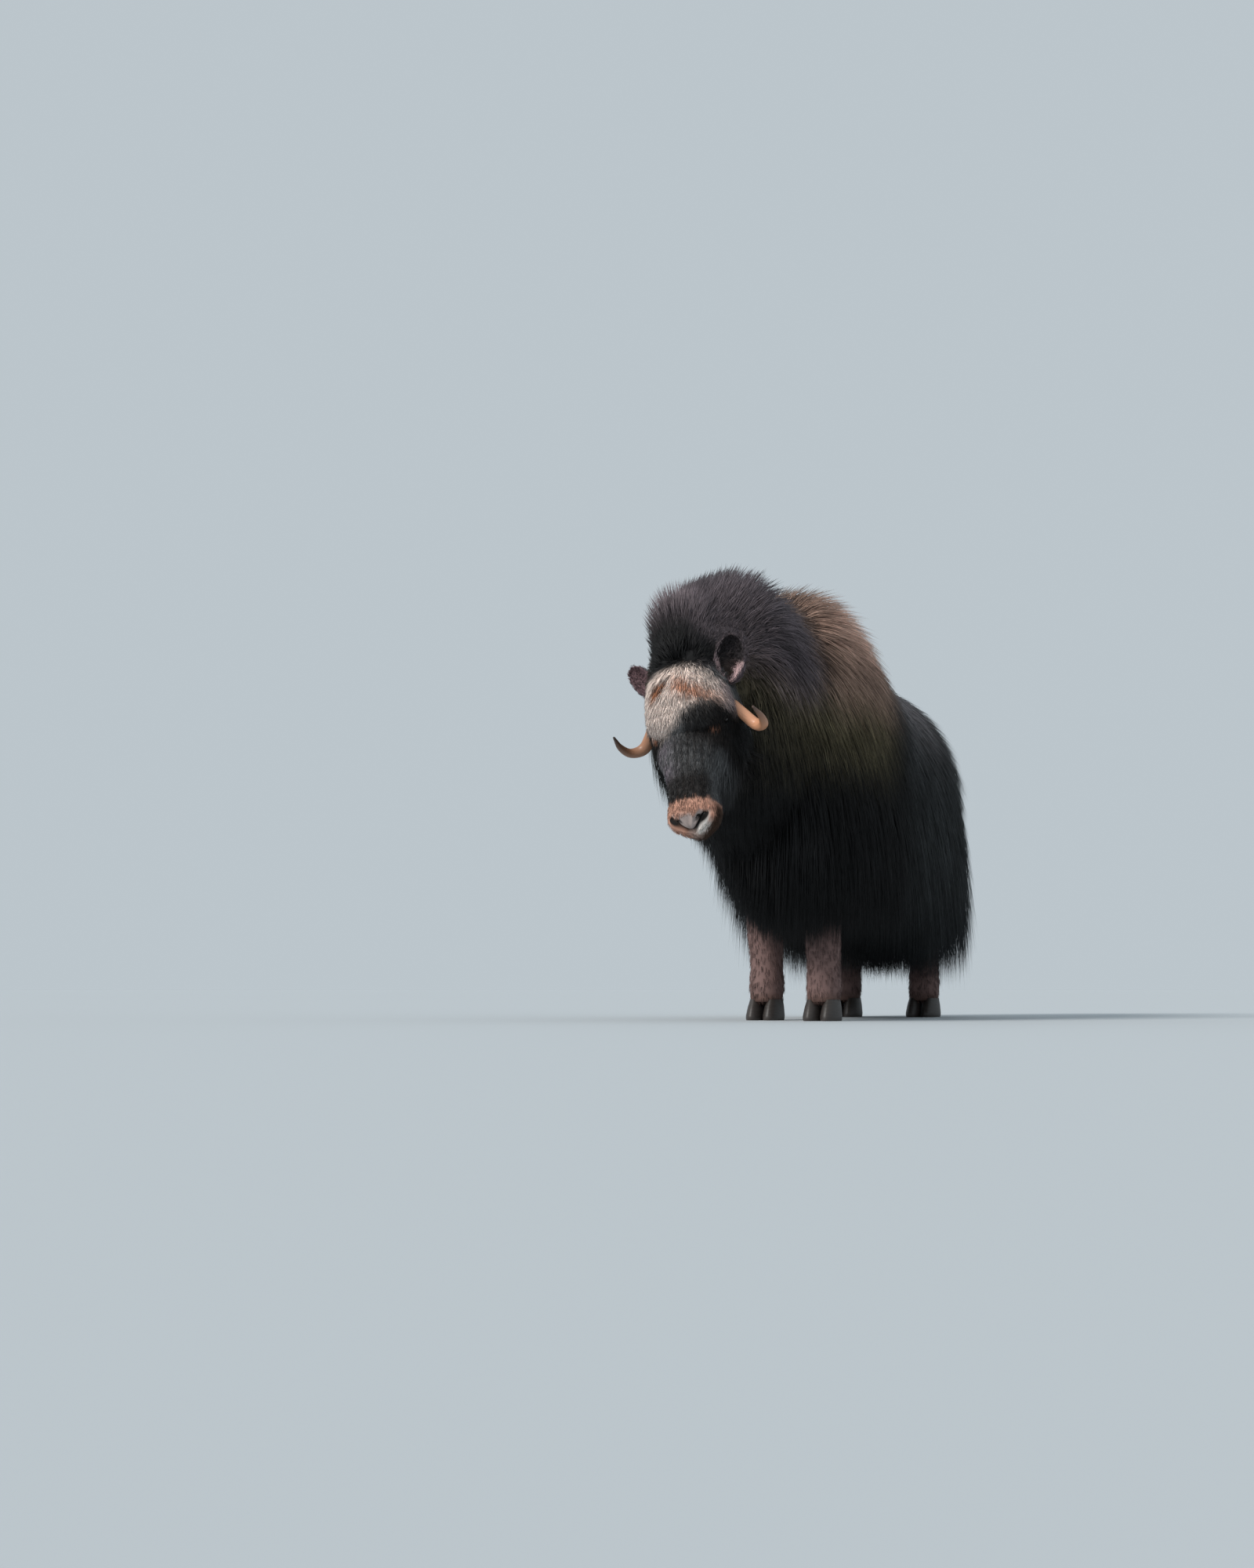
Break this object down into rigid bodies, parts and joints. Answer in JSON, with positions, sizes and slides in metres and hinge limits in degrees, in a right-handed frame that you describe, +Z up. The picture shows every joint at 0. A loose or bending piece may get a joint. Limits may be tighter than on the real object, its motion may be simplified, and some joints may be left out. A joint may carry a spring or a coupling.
{
  "type": "muskox",
  "caption": "Standing muskox with a high shoulder hump, long hanging coat in locks, lowered head, curved horns and short legs.",
  "frame": {"origin": "on the floor, under the middle of the whole animal's box", "axes": "+Z up, the animal faces -Y, its left side is towards +X"},
  "size_m": [0.6714, 1.9148, 1.2556],
  "materials": {
    "coat": "long dark brown-black hair",
    "leg": "short grey-brown hair",
    "horn": "satin horn, orange-brown",
    "hoof": "dull dark horn",
    "eye": "wet and glossy, very dark brown",
    "skin": "bare nose pad and lips, moist"
  },
  "bodies": {
    "root": {"head": "coat", "neck": "coat", "torso": "coat", "skirt_left": "coat", "skirt_right": "coat", "rump_skirt": "coat", "tail": "coat", "horn_left": "horn", "horn_right": "horn", "ear_left": "coat", "ear_right": "coat", "eye_left": "eye", "eye_right": "eye", "leg_fore_left": "leg", "leg_fore_right": "leg", "leg_hind_left": "leg", "leg_hind_right": "leg", "hoof_fore_left": "hoof", "hoof_fore_right": "hoof", "hoof_hind_left": "hoof", "hoof_hind_right": "hoof", "chest": "coat"}
  },
  "joints": []
}
